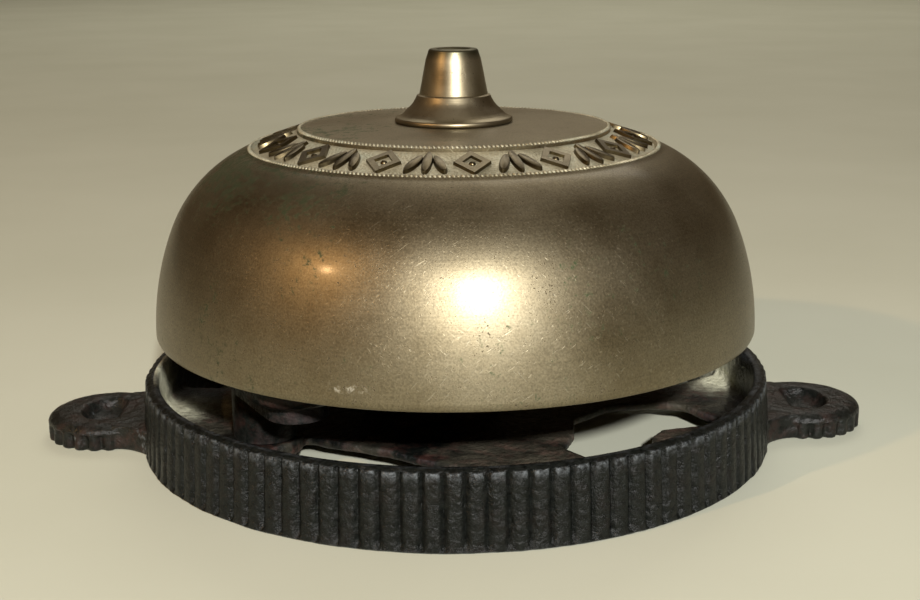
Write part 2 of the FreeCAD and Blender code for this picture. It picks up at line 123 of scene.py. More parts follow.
def apply_all(piece):
    """Apply a piece's modifiers and its place, so that it sits at the origin."""
    take(piece)
    for modifier in list(piece.modifiers):
        bpy.ops.object.modifier_apply(modifier=modifier.name)
    bpy.ops.object.transform_apply(location=True, rotation=True, scale=True)


def outward(piece):
    """Merge doubles and turn all faces outwards."""
    take(piece)
    bpy.ops.object.mode_set(mode="EDIT")
    bpy.ops.mesh.select_all(action="SELECT")
    bpy.ops.mesh.remove_doubles(threshold=0.000002)
    bpy.ops.mesh.normals_make_consistent(inside=False)
    bpy.ops.object.mode_set(mode="OBJECT")


def turn_profile(name, profile, steps):
    """Turn a profile of (radius, z) points into a solid, ring by ring as on a lathe."""
    deselect()
    radius, height = profile[0]
    bpy.ops.mesh.primitive_circle_add(vertices=steps, radius=radius, location=(0, 0, height))
    piece = bpy.context.object
    piece.name = name
    bpy.ops.object.transform_apply(location=True, rotation=True, scale=True)
    bpy.ops.object.mode_set(mode="EDIT")
    bpy.ops.mesh.select_mode(type="VERT")
    bpy.ops.mesh.select_all(action="SELECT")
    for next_radius, next_height in profile[1:] + profile[:1]:
        rise = (0, 0, next_height - height)
        bpy.ops.mesh.extrude_edges_move(TRANSFORM_OT_translate={"value": rise})
        ratio = next_radius / radius
        bpy.ops.transform.resize(value=(ratio, ratio, 1), center_override=(0, 0, next_height))
        radius, height = next_radius, next_height
    bpy.ops.object.mode_set(mode="OBJECT")
    outward(piece)
    return piece


def arc(centre, radius, start, end, count):
    """Points along a profile arc, with both ends."""
    turns = [start + (end - start) * n / count for n in range(count + 1)]
    return [(centre[0] + radius * math.cos(t), centre[1] + radius * math.sin(t)) for t in turns]


side_centre = (gong_radius - side_radius, lip_z)
shoulder_centre = arc(side_centre, side_radius - shoulder_radius, side_turn, side_turn, 1)[0]
band_start = arc(shoulder_centre, shoulder_radius, shoulder_turn, shoulder_turn, 1)[0]
band_run = (band_inner_radius - band_start[0], band_inner_z - band_start[1])
band_width = math.hypot(*band_run)
band_slope = math.atan2(band_run[1], -band_run[0])


def on_band(across, rise):
    """Profile point at a distance up the sloping band, and a height off it."""
    share = across / band_width
    radius = band_start[0] + band_run[0] * share + rise * math.sin(band_slope)
    return (radius, band_start[1] + band_run[1] * share + rise * math.cos(band_slope))


border_width = 0.0010
ground_depth = 0.00050
border_rise = 0.00015
outer_face = arc(side_centre, side_radius, 0.012, side_turn, 22)
outer_face += arc(shoulder_centre, shoulder_radius, side_turn, shoulder_turn - 0.01, 26)[1:]
band_face = [
    on_band(0.0001, border_rise),
    on_band(border_width, border_rise),
    on_band(border_width + 0.0002, -ground_depth),
    on_band(band_width / 2, -ground_depth * 0.8),
    on_band(band_width - border_width - 0.0002, -ground_depth),
    on_band(band_width - border_width, border_rise),
    on_band(band_width - 0.0001, border_rise),
    on_band(band_width + 0.0003, -0.00005),
]
crown_face = [
    (0.0305, gong_top - 0.00066), (0.0280, gong_top - 0.00050), (0.0240, gong_top - 0.00029),
    (0.0200, gong_top - 0.00013), (0.0165, gong_top - 0.00004),
    (0.0130, gong_top), (gong_bore, gong_top),
]
inner_ceiling = gong_top - gong_wall
ceiling_face = [
    (gong_bore, inner_ceiling), (0.0130, inner_ceiling),
    (band_inner_radius, inner_ceiling - 0.00075),
]
inner_face = arc(shoulder_centre, shoulder_radius - gong_wall, shoulder_turn, side_turn, 16)
inner_face += arc(side_centre, side_radius - gong_wall, side_turn, 0.02, 12)[1:]
lip_face = [
    (gong_radius - gong_wall + 0.0001, lip_z + 0.0004),
    (gong_radius - gong_wall + 0.0005, lip_z),
    (gong_radius - 0.0006, lip_z),
    (gong_radius - 0.0002, lip_z + 0.0002),
]
outside = outer_face + band_face + crown_face
gong = turn_profile("gong_bowl", outside + ceiling_face + inner_face + lip_face, gong_steps)
take(gong)
bpy.ops.object.shade_smooth_by_angle(angle=math.radians(28))


def new_material(name):
    """Material with its node tree and its shader."""
    material = bpy.data.materials.new(name)
    material.use_nodes = True
    tree = material.node_tree
    return material, tree, tree.nodes["Principled BSDF"]


def add_node(tree, kind, **values):
    """Shader node with its properties and input values set."""
    node = tree.nodes.new(kind)
    for key, value in values.items():
        if key in node.inputs:
            node.inputs[key].default_value = value
        else:
            setattr(node, key, value)
    return node


def new_group(name, inputs, outputs):
    """Shader node group; inputs are names of values and their defaults, outputs names and kinds."""
    group = bpy.data.node_groups.new(name, "ShaderNodeTree")
    for socket_name, default in inputs:
        socket = group.interface.new_socket(
            name=socket_name, in_out="INPUT", socket_type="NodeSocketFloat",
        )
        socket.default_value = default
    for socket_name, kind in outputs:
        group.interface.new_socket(
            name=socket_name, in_out="OUTPUT", socket_type=f"NodeSocket{kind}",
        )
    group_in = group.nodes.new("NodeGroupInput")
    group_out = group.nodes.new("NodeGroupOutput")
    return group, group_in, group_out


def place_group(tree, group, **values):
    """Group node in a material, with its inputs set by name."""
    node = tree.nodes.new("ShaderNodeGroup")
    node.node_tree = group
    for key, value in values.items():
        node.inputs[key.replace("_", " ")].default_value = value
    return node


def ramp(tree, source, stops):
    """Colour ramp driven by a value; each stop is a position and a colour."""
    node = tree.nodes.new("ShaderNodeValToRGB")
    elements = node.color_ramp.elements
    while len(elements) < len(stops):
        elements.new(0.5)
    for element, (position, color) in zip(elements, stops):
        element.position = position
        element.color = (*color, 1)
    tree.links.new(source, node.inputs["Fac"])
    return node.outputs["Color"]


def blend_color(tree, mask, first, second):
    """Mix of two colours; each is a socket or a plain colour."""
    node = add_node(tree, "ShaderNodeMix", data_type="RGBA")
    tree.links.new(mask, node.inputs[0])
    for socket, value in ((node.inputs[6], first), (node.inputs[7], second)):
        if isinstance(value, tuple):
            socket.default_value = (*value, 1)
        else:
            tree.links.new(value, socket)
    return node.outputs[2]


def value_between(tree, source, low, high, to_low, to_high):
    """Value mapped from one range to another and held inside it."""
    node = tree.nodes.new("ShaderNodeMapRange")
    for key, value in (("From Min", low), ("From Max", high), ("To Min", to_low), ("To Max", to_high)):
        node.inputs[key].default_value = value
    tree.links.new(source, node.inputs["Value"])
    return node.outputs["Result"]


def math_node(tree, operation, first, second):
    """Maths on two values; each is a socket or a number."""
    node = add_node(tree, "ShaderNodeMath", operation=operation)
    for socket, value in ((node.inputs[0], first), (node.inputs[1], second)):
        if isinstance(value, (int, float)):
            socket.default_value = value
        else:
            tree.links.new(value, socket)
    return node.outputs[0]


def bump(tree, height, strength, distance):
    """Bump from a height value."""
    node = add_node(tree, "ShaderNodeBump", Strength=strength, Distance=distance)
    tree.links.new(height, node.inputs["Height"])
    return node.outputs["Normal"]


def laid_pattern(tree, where, kind, **values):
    """Noise or cells laid over a piece by the piece's own coordinates."""
    node = add_node(tree, kind, **values)
    tree.links.new(where.outputs["Object"], node.inputs["Vector"])
    return node


# Age on metal: cloudy tarnish, small pits, and fine scratches in three directions.
age, age_in, age_out = new_group(
    "aged_metal",
    [("Cloud Scale", 60.0), ("Pit Scale", 900.0), ("Scratch Scale", 500.0)],
    [("Cloud", "Float"), ("Pits", "Float"), ("Scratches", "Float"), ("Grain", "Float")],
)
place = add_node(age, "ShaderNodeTexCoord")
cloud = laid_pattern(age, place, "ShaderNodeTexNoise", Detail=6.0, Roughness=0.62)
age.links.new(age_in.outputs["Cloud Scale"], cloud.inputs["Scale"])
age.links.new(cloud.outputs["Fac"], age_out.inputs["Cloud"])
pit_spread = laid_pattern(age, place, "ShaderNodeTexNoise", Scale=160.0, Detail=3.0)
pits = laid_pattern(age, place, "ShaderNodeTexNoise", Detail=2.0, Roughness=0.5)
age.links.new(age_in.outputs["Pit Scale"], pits.inputs["Scale"])
pit_mix = add_node(age, "ShaderNodeMath", operation="MULTIPLY_ADD")
age.links.new(pit_spread.outputs["Fac"], pit_mix.inputs[0])
pit_mix.inputs[1].default_value = 0.35
age.links.new(pits.outputs["Fac"], pit_mix.inputs[2])
pit_mask = value_between(age, pit_mix.outputs[0], 0.835, 0.90, 0.0, 1.0)
age.links.new(pit_mask, age_out.inputs["Pits"])
scratches = []
for turn, stretch in (((0, 0.85, 0.1), 16), ((0, -0.55, 0.3), 22), ((0.2, 2.3, 0), 13)):
    turned = add_node(
        age, "ShaderNodeMapping", vector_type="TEXTURE", Rotation=turn, Scale=(stretch, 1, 1),
    )
    age.links.new(place.outputs["Object"], turned.inputs["Vector"])
    lines = add_node(age, "ShaderNodeTexNoise", Detail=1.0, Roughness=0.4)
    age.links.new(turned.outputs["Vector"], lines.inputs["Vector"])
    age.links.new(age_in.outputs["Scratch Scale"], lines.inputs["Scale"])
    scratches.append(value_between(age, lines.outputs["Fac"], 0.705, 0.77, 0.0, 1.0))
crossed = math_node(age, "MAXIMUM", scratches[0], scratches[1])
crossed = math_node(age, "MAXIMUM", crossed, scratches[2])
age.links.new(crossed, age_out.inputs["Scratches"])
grain = laid_pattern(age, place, "ShaderNodeTexNoise", Scale=2600.0, Detail=3.0)
age.links.new(grain.outputs["Fac"], age_out.inputs["Grain"])

# Bell metal: olive-brown tarnish, green specks on the shoulder, lathe lines round the bowl.
gong_metal, tree, shader = new_material("aged_bell_metal")
marks = place_group(tree, age, Cloud_Scale=38.0, Pit_Scale=2600.0, Scratch_Scale=3200.0)
where = add_node(tree, "ShaderNodeTexCoord")
parts = add_node(tree, "ShaderNodeSeparateXYZ")
tree.links.new(where.outputs["Object"], parts.inputs["Vector"])
tarnish = ramp(tree, marks.outputs["Cloud"], [
    (0.28, (0.142, 0.112, 0.063)), (0.46, (0.204, 0.170, 0.106)),
    (0.62, (0.236, 0.202, 0.132)), (0.80, (0.178, 0.144, 0.086)),
])
lathe_rings = add_node(
    tree, "ShaderNodeTexNoise", noise_dimensions="1D", Scale=1600.0, Detail=4.0, Roughness=0.7,
)
tree.links.new(parts.outputs["Z"], lathe_rings.inputs["W"])
ring_tint = value_between(tree, lathe_rings.outputs["Fac"], 0.35, 0.65, 0.95, 1.03)
grain_tint = value_between(tree, marks.outputs["Grain"], 0.30, 0.70, 0.72, 1.24)
ring_tint = math_node(tree, "MULTIPLY", ring_tint, grain_tint)
tint_color = add_node(tree, "ShaderNodeCombineColor")
for channel in ("Red", "Green", "Blue"):
    tree.links.new(ring_tint, tint_color.inputs[channel])
ringed = add_node(tree, "ShaderNodeMix", data_type="RGBA", blend_type="MULTIPLY")
ringed.inputs[0].default_value = 1.0
tree.links.new(tarnish, ringed.inputs[6])
tree.links.new(tint_color.outputs["Color"], ringed.inputs[7])
shoulder_mask = value_between(tree, parts.outputs["Z"], 0.044, 0.060, 0.0, 1.0)
green_spots = laid_pattern(tree, where, "ShaderNodeTexNoise", Scale=520.0, Detail=6.0, Roughness=0.8)
green_spread = laid_pattern(tree, where, "ShaderNodeTexNoise", Scale=45.0, Detail=3.0)
green_level = math_node(tree, "MULTIPLY", green_spread.outputs["Fac"], 0.5)
green_level = math_node(tree, "ADD", green_spots.outputs["Fac"], green_level)
green_side = value_between(tree, parts.outputs["X"], -0.045, 0.020, 0.12, -0.04)
green_level = math_node(tree, "ADD", green_level, math_node(tree, "MULTIPLY", shoulder_mask, green_side))
green_mask = value_between(tree, green_level, 0.87, 0.96, 0.0, 0.80)
greened = blend_color(tree, green_mask, ringed.outputs[2], (0.050, 0.078, 0.036))
pit_dirt = math_node(tree, "MULTIPLY", marks.outputs["Pits"], 0.75)
pitted = blend_color(tree, pit_dirt, greened, (0.045, 0.032, 0.018))
scratch_shine = math_node(tree, "MULTIPLY", marks.outputs["Scratches"], 0.28)
scratched = blend_color(tree, scratch_shine, pitted, (0.46, 0.42, 0.31))
# A small smear of chalky dirt low on the front left.
chalk_noise = laid_pattern(tree, where, "ShaderNodeTexNoise", Scale=900.0, Detail=4.0, Roughness=0.8)
chalk = value_between(tree, chalk_noise.outputs["Fac"], 0.50, 0.62, 0.0, 0.45)
for axis, middle, solid, faded in (("X", -0.0205, 0.0015, 0.0045), ("Z", 0.0285, 0.0004, 0.0011)):
    offset = math_node(tree, "SUBTRACT", parts.outputs[axis], middle)
    offset = math_node(tree, "ABSOLUTE", offset, 0.0)
    within = value_between(tree, offset, solid, faded, 1.0, 0.0)
    chalk = math_node(tree, "MULTIPLY", chalk, within)
chalk_side = value_between(tree, parts.outputs["Y"], -0.03, -0.04, 0.0, 1.0)
chalk = math_node(tree, "MULTIPLY", chalk, chalk_side)
chalked = blend_color(tree, chalk, scratched, (0.62, 0.60, 0.52))
tree.links.new(chalked, shader.inputs["Base Color"])
rough = value_between(tree, marks.outputs["Cloud"], 0.3, 0.75, 0.42, 0.49)
rough = math_node(tree, "ADD", rough, math_node(tree, "MULTIPLY", green_mask, 0.25))
rough = math_node(tree, "ADD", rough, math_node(tree, "MULTIPLY", marks.outputs["Pits"], 0.20))
tree.links.new(rough, shader.inputs["Roughness"])
shader.inputs["Coat Weight"].default_value = 0.26
coat_rough = value_between(tree, marks.outputs["Cloud"], 0.3, 0.75, 0.15, 0.22)
tree.links.new(coat_rough, shader.inputs["Coat Roughness"])
metal_share = math_node(tree, "SUBTRACT", 1.0, chalk)
tree.links.new(metal_share, shader.inputs["Metallic"])
relief = math_node(tree, "MULTIPLY", marks.outputs["Pits"], -1.0)
relief = math_node(tree, "ADD", relief, math_node(tree, "MULTIPLY", marks.outputs["Grain"], 0.7))
relief = math_node(tree, "ADD", relief, math_node(tree, "MULTIPLY", lathe_rings.outputs["Fac"], 0.25))
relief = math_node(tree, "ADD", relief, math_node(tree, "MULTIPLY", marks.outputs["Scratches"], -0.5))
tree.links.new(bump(tree, relief, 0.26, 0.00008), shader.inputs["Normal"])
gong.data.materials.append(gong_metal)

# The sunk ground of the band is stippled and pale with dried polish.
ground_metal, tree, shader = new_material("stippled_band_ground")
marks = place_group(tree, age, Cloud_Scale=120.0, Pit_Scale=1500.0, Scratch_Scale=500.0)
where = add_node(tree, "ShaderNodeTexCoord")
stipple = laid_pattern(tree, where, "ShaderNodeTexVoronoi", Scale=1700.0)
pale = ramp(tree, marks.outputs["Cloud"], [
    (0.30, (0.22, 0.20, 0.13)), (0.52, (0.40, 0.37, 0.26)), (0.75, (0.31, 0.33, 0.25)),
])
dimple = value_between(tree, stipple.outputs["Distance"], 0.1, 0.6, 1.0, 0.0)
dotted = blend_color(tree, math_node(tree, "MULTIPLY", dimple, 0.35), pale, (0.16, 0.13, 0.07))
tree.links.new(dotted, shader.inputs["Base Color"])
tree.links.new(value_between(tree, marks.outputs["Cloud"], 0.3, 0.7, 0.7, 0.35), shader.inputs["Metallic"])
tree.links.new(value_between(tree, marks.outputs["Grain"], 0.3, 0.7, 0.45, 0.62), shader.inputs["Roughness"])
tree.links.new(bump(tree, stipple.outputs["Distance"], 0.8, 0.0002), shader.inputs["Normal"])
gong.data.materials.append(ground_metal)
ground_margin = 0.0003
ground_outer = on_band(border_width, 0)[0] + ground_margin
ground_inner = on_band(band_width - border_width, 0)[0] - ground_margin
for face in gong.data.polygons:
    centre = face.center
    in_band = ground_inner < math.hypot(centre.x, centre.y) < ground_outer
    if in_band and face.normal.z > 0.5 and centre.z > band_start[1] - 0.001:
        face.material_index = 1
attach(gong, "bell_base")
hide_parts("gong")


# ------------------------------------------------------------------ band frieze
# Raised plain ornaments in the sunk band: open lozenges between sprays of three leaves, cast with
# the gong and rubbed smooth, and a border of small slanted beads along each edge.
frieze_units = 28
first_unit = 0.3
frieze_height = 0.0008
frieze_foot = -ground_depth - 0.0001
lozenge_radius = 0.0043
lozenge_frame = 0.00135
lozenge_narrowing = 0.84
leaf_radius = 0.0042
leaf_narrowing = 0.26
leaf_spread = 0.0025
leaf_lean = 0.42
middle_leaf_length = 0.96
side_leaf_length = 0.80
side_leaf_shift = 0.0005
seed_radius = 0.0009
seed_size = 0.8
bead_radius = 0.00040
bead_spacing = 0.00086
bead_slant = 0.6
bead_shape = (1.35, 0.8, 0.75, 1)


def onto_band(piece, across, rise, turn):
    """Lay a flat ornament made at the origin on the sloping band, at a turn about the axis."""
    radius, height = on_band(across, rise)
    tilt = Matrix.Rotation(band_slope, 4, "Y")
    out = Matrix.Translation((radius, 0, height))
    piece.data.transform(Matrix.Rotation(turn, 4, "Z") @ out @ tilt)


def copy_of(piece, name):
    """Separate copy with its own mesh."""
    twin = piece.copy()
    twin.data = piece.data.copy()
    twin.name = name
    bpy.context.scene.collection.objects.link(twin)
    return twin


def join(pieces, name):
    """Join pieces into the first one."""
    deselect()
    for piece in pieces:
        piece.select_set(True)
    bpy.context.view_layer.objects.active = pieces[0]
    if len(pieces) > 1:
        bpy.ops.object.join()
    pieces[0].name = name
    return pieces[0]


deselect()
bpy.ops.mesh.primitive_circle_add(vertices=4, radius=lozenge_radius, fill_type="NGON")
lozenge = bpy.context.object
bpy.ops.object.mode_set(mode="EDIT")
bpy.ops.mesh.select_all(action="SELECT")
bpy.ops.mesh.inset(thickness=lozenge_frame)
bpy.ops.mesh.delete(type="FACE")
bpy.ops.mesh.select_all(action="SELECT")
bpy.ops.mesh.extrude_region_move(TRANSFORM_OT_translate={"value": (0, 0, frieze_height)})
bpy.ops.transform.resize(value=(0.96, 0.96, 1), center_override=(0, 0, 0))
bpy.ops.mesh.select_all(action="SELECT")
bpy.ops.transform.resize(value=(1.0, lozenge_narrowing, 1.0), center_override=(0, 0, 0))
bpy.ops.object.mode_set(mode="OBJECT")
deselect()
bpy.ops.mesh.primitive_circle_add(vertices=14, radius=leaf_radius, fill_type="NGON")
leaf = bpy.context.object
bpy.ops.object.mode_set(mode="EDIT")
bpy.ops.mesh.select_all(action="SELECT")
bpy.ops.transform.resize(value=(1.0, leaf_narrowing, 1.0), center_override=(0, 0, 0))
bpy.ops.mesh.extrude_region_move(TRANSFORM_OT_translate={"value": (0, 0, frieze_height)})
bpy.ops.transform.resize(value=(0.93, 0.80, 1), center_override=(0, 0, 0))
bpy.ops.mesh.inset(thickness=0.00025)
bpy.ops.transform.translate(value=(0, 0, 0.0001))
bpy.ops.object.mode_set(mode="OBJECT")
deselect()
bpy.ops.mesh.primitive_uv_sphere_add(segments=12, ring_count=6, radius=seed_radius)
seed = bpy.context.object
ornaments = []
for unit in range(frieze_units):
    turn = 2 * math.pi * (unit + first_unit) / frieze_units
    if unit % 2:
        for pattern, size in ((lozenge, 1.0), (seed, seed_size)):
            shape = copy_of(pattern, f"lozenge_{len(ornaments)}")
            shape.data.transform(Matrix.Diagonal((size, size, size, 1)))
            onto_band(shape, band_width / 2, frieze_foot, turn)
            ornaments.append(shape)
        continue
    for side in (-1, 0, 1):
        shape = copy_of(leaf, f"leaf_{len(ornaments)}")
        length = middle_leaf_length if side == 0 else side_leaf_length
        shift = Matrix.Translation((side_leaf_shift if side else 0, side * leaf_spread, 0))
        lean = Matrix.Rotation(side * leaf_lean, 4, "Z")
        shape.data.transform(shift @ lean @ Matrix.Diagonal((length, 1, 1, 1)))
        onto_band(shape, band_width / 2, frieze_foot, turn)
        ornaments.append(shape)
for pattern in (lozenge, leaf, seed):
    bpy.data.objects.remove(pattern)
frieze = join(ornaments, "gong_frieze")
outward(frieze)
take(frieze)
bpy.ops.object.shade_smooth_by_angle(angle=math.radians(40))

frieze_metal, tree, shader = new_material("rubbed_frieze_metal")
marks = place_group(tree, age, Cloud_Scale=220.0, Pit_Scale=1400.0, Scratch_Scale=600.0)
dark = ramp(tree, marks.outputs["Cloud"], [
    (0.3, (0.085, 0.066, 0.034)), (0.6, (0.125, 0.100, 0.056)), (0.8, (0.160, 0.130, 0.074)),
])
tree.links.new(dark, shader.inputs["Base Color"])
shader.inputs["Metallic"].default_value = 1.0
tree.links.new(value_between(tree, marks.outputs["Grain"], 0.3, 0.7, 0.28, 0.42), shader.inputs["Roughness"])
tree.links.new(bump(tree, marks.outputs["Grain"], 0.3, 0.00005), shader.inputs["Normal"])
frieze.data.materials.clear()
frieze.data.materials.append(frieze_metal)
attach(frieze, "bell_base")

deselect()
bpy.ops.mesh.primitive_uv_sphere_add(segments=6, ring_count=4, radius=bead_radius)
bead = bpy.context.object
bead.data.transform(Matrix.Rotation(bead_slant, 4, "Z") @ Matrix.Diagonal(bead_shape))
beads = []
for across in (border_width / 2, band_width - border_width / 2):
    radius = on_band(across, 0)[0]
    count = round(2 * math.pi * radius / bead_spacing)
    for number in range(count):
        shape = copy_of(bead, f"bead_{len(beads)}")
        onto_band(shape, across, border_rise, 2 * math.pi * number / count)
        beads.append(shape)
bpy.data.objects.remove(bead)
border_beads = join(beads, "gong_border_beads")
take(border_beads)
bpy.ops.object.shade_smooth()
border_beads.data.materials.clear()
border_beads.data.materials.append(ground_metal)
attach(border_beads, "bell_base")


# ------------------------------------------------------------------ gong knob
# Turned brass nut with a bullnose foot, a hollow flare, a small step at the waist and a tapered neck.
# It screws down on the post and is bright where hands have rubbed it, dark in its top rim.
knob_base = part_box("gong_nut")[0].z
knob_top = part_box("gong_nut")[1].z
foot_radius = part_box("gong_nut")[1].x
knob_bore = 0.0034
knob_profile = [(knob_bore, knob_base), (foot_radius - 0.0009, knob_base)]
knob_profile += arc((foot_radius - 0.0006, knob_base + 0.0006), 0.0006, -1.2, 1.45, 8)
knob_profile += [
    (foot_radius - 0.0009, knob_base + 0.00135), (foot_radius - 0.0016, knob_base + 0.0017),
    (0.01010, knob_base + 0.0023), (0.00950, knob_base + 0.0029), (0.00890, knob_base + 0.0035),
    (0.00842, knob_base + 0.0041), (0.00802, knob_base + 0.0048), (0.00774, knob_base + 0.0054),
    (0.00764, knob_base + 0.0056), (0.00742, knob_base + 0.0057), (0.00712, knob_base + 0.0058),
    (0.00708, knob_base + 0.0061), (0.00694, knob_base + 0.0068), (0.00655, knob_base + 0.0088),
    (0.00614, knob_base + 0.0109), (0.00572, knob_base + 0.0130), (0.00528, knob_top - 0.0009),
]
knob_profile += arc((0.00445, knob_top - 0.0008), 0.0008, 0.15, math.pi / 2, 7)
knob_profile += [
    (0.0036, knob_top - 0.00005), (0.0032, knob_top - 0.0004), (0.0010, knob_top - 0.0005),
    (0.00001, knob_top - 0.0005), (0.00001, knob_top - 0.0025), (knob_bore, knob_top - 0.0025),
]
knob = turn_profile("gong_knob", knob_profile, 128)
take(knob)
bpy.ops.object.shade_smooth_by_angle(angle=math.radians(32))

knob_brass, tree, shader = new_material("rubbed_knob_brass")
shader.inputs["Metallic"].default_value = 1.0
marks = place_group(tree, age, Cloud_Scale=110.0, Pit_Scale=2800.0, Scratch_Scale=3600.0)
where = add_node(tree, "ShaderNodeTexCoord")
parts = add_node(tree, "ShaderNodeSeparateXYZ")
tree.links.new(where.outputs["Object"], parts.inputs["Vector"])
brass = ramp(tree, marks.outputs["Cloud"], [
    (0.3, (0.25, 0.205, 0.125)), (0.55, (0.34, 0.295, 0.20)), (0.8, (0.29, 0.245, 0.16)),
])
turned_lines = add_node(tree, "ShaderNodeTexNoise", noise_dimensions="1D", Scale=3200.0, Detail=2.0)
tree.links.new(parts.outputs["Z"], turned_lines.inputs["W"])
rim_dark = value_between(tree, parts.outputs["Z"], knob_top - 0.0022, knob_top - 0.0007, 0.0, 0.85)
rim_noise = value_between(tree, marks.outputs["Cloud"], 0.3, 0.6, 0.5, 1.0)
rim_dark = math_node(tree, "MULTIPLY", rim_dark, rim_noise)
rimmed = blend_color(tree, rim_dark, brass, (0.06, 0.065, 0.035))
# Darker towards the foot, next to the crown.
foot_dark = value_between(tree, parts.outputs["Z"], knob_base + 0.0018, knob_base + 0.0004, 0.0, 0.25)
footed = blend_color(tree, foot_dark, rimmed, (0.16, 0.12, 0.06))
pit_dirt = math_node(tree, "MULTIPLY", marks.outputs["Pits"], 0.6)
pitted = blend_color(tree, pit_dirt, footed, (0.05, 0.04, 0.02))
tree.links.new(pitted, shader.inputs["Base Color"])
tree.links.new(value_between(tree, marks.outputs["Cloud"], 0.3, 0.7, 0.36, 0.46), shader.inputs["Roughness"])
line_relief = math_node(tree, "MULTIPLY", turned_lines.outputs["Fac"], 0.6)
pit_relief = math_node(tree, "MULTIPLY", marks.outputs["Pits"], -1.0)
relief = math_node(tree, "ADD", line_relief, pit_relief)
tree.links.new(bump(tree, relief, 0.35, 0.00006), shader.inputs["Normal"])
knob.data.materials.append(knob_brass)
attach(knob, "bell_base")
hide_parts("gong_nut")


# ------------------------------------------------------------------ base ring
# The outer wall of the iron base casting: a low drafted ring whose outside is all upright ribs,
# a little uneven from the sand mould, with a plain narrow edge on top.
ring_top = 0.0153
ring_top_radius = 0.0664
ring_draft = 0.0009
ring_inner = 0.0636
rib_count = 108
rib_steps = 10
groove_depth = 0.00090
groove_shape = [1.0, 0.62, 0.16, 0.05, 0.0, 0.0, 0.0, 0.05, 0.16, 0.62]
rib_foot = 0.0008
rib_head = 0.0148
edge_width = 0.0012
slow_wave = 170
slow_depth = 0.00017
quick_wave = 560
quick_depth = 0.00014


def ring_at(height):
    """Outside radius of the drafted ring at a height."""
    return ring_top_radius + ring_draft * (1 - height / ring_top)


ring_bore = ring_inner + 0.0001
wall_heights = [0.0, 0.0004, 0.0011, 0.0020, 0.0045, 0.0070, 0.0095, 0.0120, 0.0143]
ring_profile = [(ring_at(0) - 0.0005, 0.0)] + [(ring_at(z), z) for z in wall_heights[1:]]
ring_profile += [
    (ring_at(0.0147) - 0.00012, 0.0147), (ring_at(0.0149) - 0.0004, 0.0149),
    (ring_top_radius - 0.0009, 0.0151), (ring_top_radius - edge_width, ring_top),
    (ring_inner + 0.0006, ring_top), (ring_bore, ring_top - 0.0005),
    (ring_bore, 0.0100), (ring_bore, 0.0050), (ring_bore, 0.0),
]
ring = turn_profile("base_ring", ring_profile, rib_count * rib_steps)


def step_of(vertex, count, steps):
    """Which of the steps round one rib or lobe a vertex stands at."""
    turn = math.degrees(math.atan2(vertex.co.y, vertex.co.x)) % 360
    return round(turn * count * steps / 360) % steps


# Between the ribs the wall is drawn in, each step by its share of the groove's depth.
for step, depth in enumerate(groove_shape):
    if depth == 0:
        continue
    take(ring)
    for vertex in ring.data.vertices:
        radius = math.hypot(vertex.co.x, vertex.co.y)
        on_wall = radius > ring_top_radius - 0.0004 and rib_foot < vertex.co.z < rib_head
        vertex.select = on_wall and step_of(vertex, rib_count, rib_steps) == step
    for edge in ring.data.edges:
        edge.select = False
    for face in ring.data.polygons:
        face.select = False
    bpy.ops.object.mode_set(mode="EDIT")
    bpy.ops.mesh.select_mode(type="VERT")
    shrink = 1 - depth * groove_depth / ring_top_radius
    bpy.ops.transform.resize(value=(shrink, shrink, 1), center_override=(0, 0, 0))
    bpy.ops.object.mode_set(mode="OBJECT")

# The mould left the ribs uneven: each vertex moves a little with a smooth random field.
for vertex in ring.data.vertices:
    radius = math.hypot(vertex.co.x, vertex.co.y)
    if radius < ring_top_radius - edge_width:
        continue
    slow = noise.noise(vertex.co * slow_wave)
    quick = noise.noise(vertex.co * quick_wave + Vector((3, 1, 7)))
    shift = (slow_depth * slow + quick_depth * quick) / radius
    vertex.co.x *= 1 + shift
    vertex.co.y *= 1 + shift
take(ring)
bpy.ops.object.shade_smooth_by_angle(angle=math.radians(50))

# Cast iron: black japan worn to grey on its edges, with spots of brown rust and thin dust. Two pale
# pools on the inner wall are painted light: lamp light painted as pale colour over the dust.
iron, iron_in, iron_out = new_group(
    "worn_casting",
    [("Rust", 0.5), ("Wear", 0.5), ("Dust", 0.2), ("Patches", 0.0), ("Fine Scale", 900.0)],
    [("Color", "Color"), ("Roughness", "Float"), ("Metallic", "Float"), ("Height", "Float")],
)
place = add_node(iron, "ShaderNodeTexCoord")
broad = laid_pattern(iron, place, "ShaderNodeTexNoise", Scale=70.0, Detail=5.0, Roughness=0.6)
sand = laid_pattern(iron, place, "ShaderNodeTexNoise", Detail=6.0, Roughness=0.7)
iron.links.new(iron_in.outputs["Fine Scale"], sand.inputs["Scale"])
blisters = laid_pattern(iron, place, "ShaderNodeTexVoronoi", Scale=620.0)
spots = laid_pattern(iron, place, "ShaderNodeTexNoise", Scale=260.0, Detail=4.0, Roughness=0.7)
surface = add_node(iron, "ShaderNodeNewGeometry")
black = ramp(iron, sand.outputs["Fac"], [
    (0.35, (0.0034, 0.0040, 0.0036)), (0.65, (0.0095, 0.0110, 0.0095)),
])
rust_level = value_between(iron, spots.outputs["Fac"], 0.48, 0.68, 0.0, 1.0)
rust_level = math_node(iron, "MULTIPLY", rust_level, iron_in.outputs["Rust"])
rust_color = ramp(iron, broad.outputs["Fac"], [
    (0.35, (0.036, 0.015, 0.012)), (0.65, (0.078, 0.036, 0.029)),
])
rusted = blend_color(iron, rust_level, black, rust_color)
spot = add_node(iron, "ShaderNodeSeparateXYZ")
iron.links.new(place.outputs["Object"], spot.inputs["Vector"])
high = value_between(iron, surface.outputs["Pointiness"], 0.53, 0.60, 0.0, 1.0)
worn_spots = value_between(iron, spots.outputs["Fac"], 0.42, 0.62, 0.05, 1.0)
off_table = value_between(iron, spot.outputs["Z"], 0.0008, 0.0022, 0.1, 1.0)
